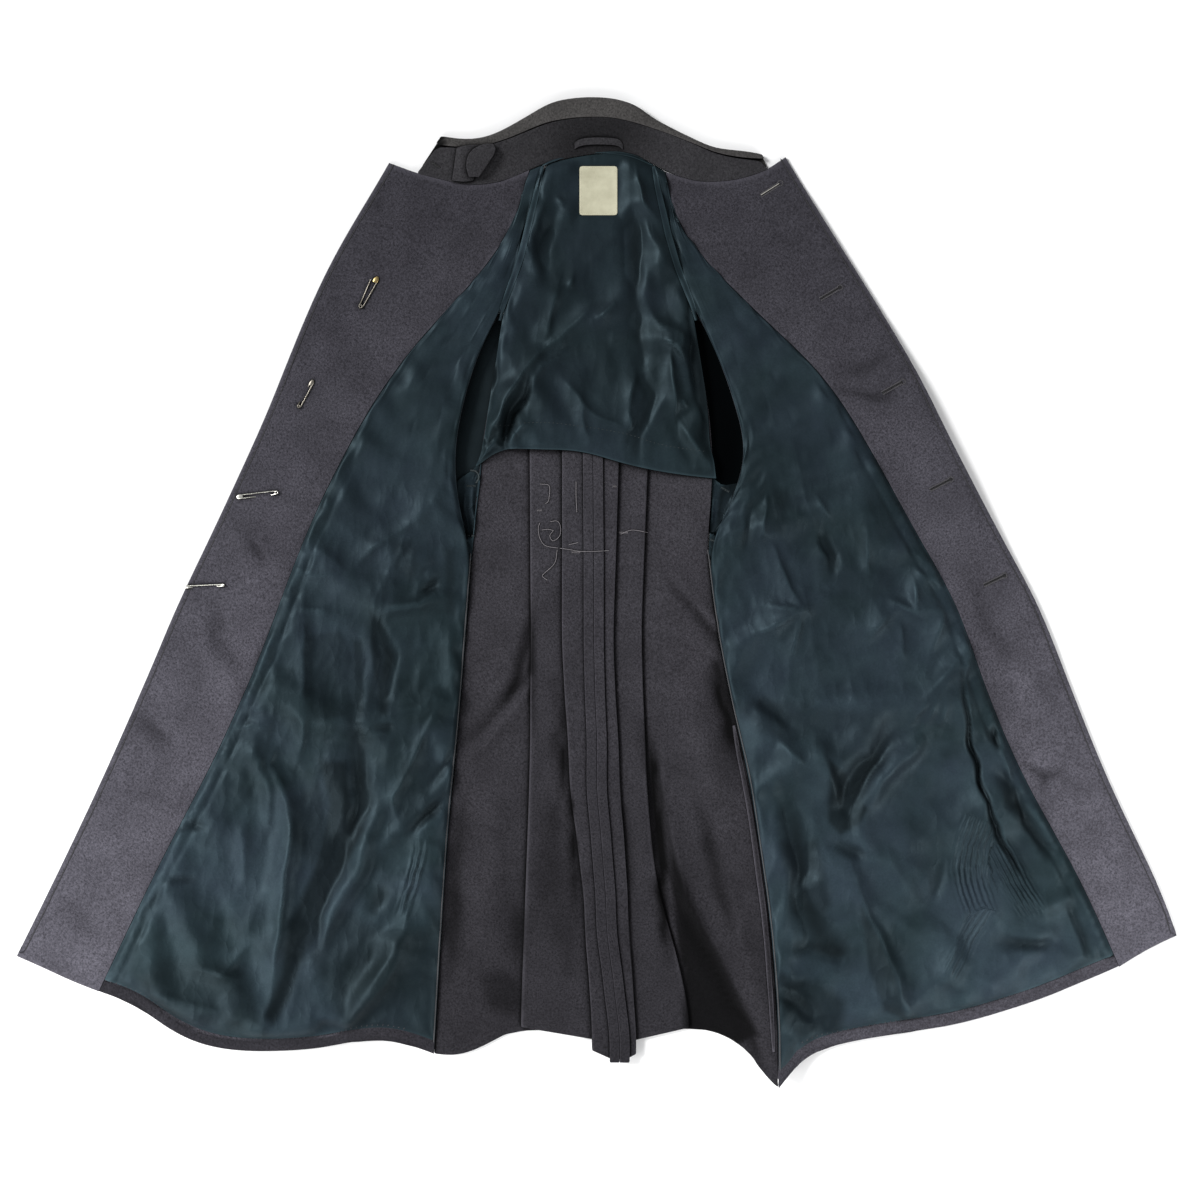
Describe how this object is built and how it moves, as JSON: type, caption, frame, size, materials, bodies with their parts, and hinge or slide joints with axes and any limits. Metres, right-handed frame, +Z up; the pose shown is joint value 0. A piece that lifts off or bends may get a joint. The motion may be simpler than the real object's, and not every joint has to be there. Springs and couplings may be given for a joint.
{
  "type": "military greatcoat laid open flat",
  "caption": "Long wool greatcoat laid open on its back, lining up: collar, two fronts with facings and satin linings, half-lined pleated back.",
  "frame": {"origin": "on the floor under the middle of the coat's bounding box", "axes": "+X across the coat towards the wearer's left front, +Y from hem to collar, +Z up out of the lining"},
  "size_m": [1.412, 1.201, 0.0235],
  "materials": {
    "wool": "milled melton wool, grey-violet, matt with short nap",
    "collar_wool": "milled melton wool, browner from wear",
    "satin": "dark green-blue lining satin with a soft sheen",
    "label": "cream woven tape, blank",
    "steel": "nickel-plated wire, dulled",
    "brass": "tarnished gilt"
  },
  "bodies": {
    "root": {"front_right": "wool", "front_left": "wool", "facing_right": "wool", "facing_left": "wool", "front_lining_right": "satin", "front_lining_left": "satin", "sleeve_right": "wool", "sleeve_left": "wool", "back_body": "wool", "back_skirt_right": "wool", "back_skirt_left": "wool", "back_lining": "satin", "collar_stand": "collar_wool", "collar_fall": "collar_wool", "throat_tab": "wool", "throat_tab_end": "wool", "hanger_loop": "wool", "label": "label", "button_1": "brass", "button_2": "brass", "button_3": "brass", "button_4": "brass", "safety_pin_1": "steel", "safety_pin_2": "steel", "safety_pin_3": "steel", "safety_pin_4": "steel"}
  },
  "joints": []
}
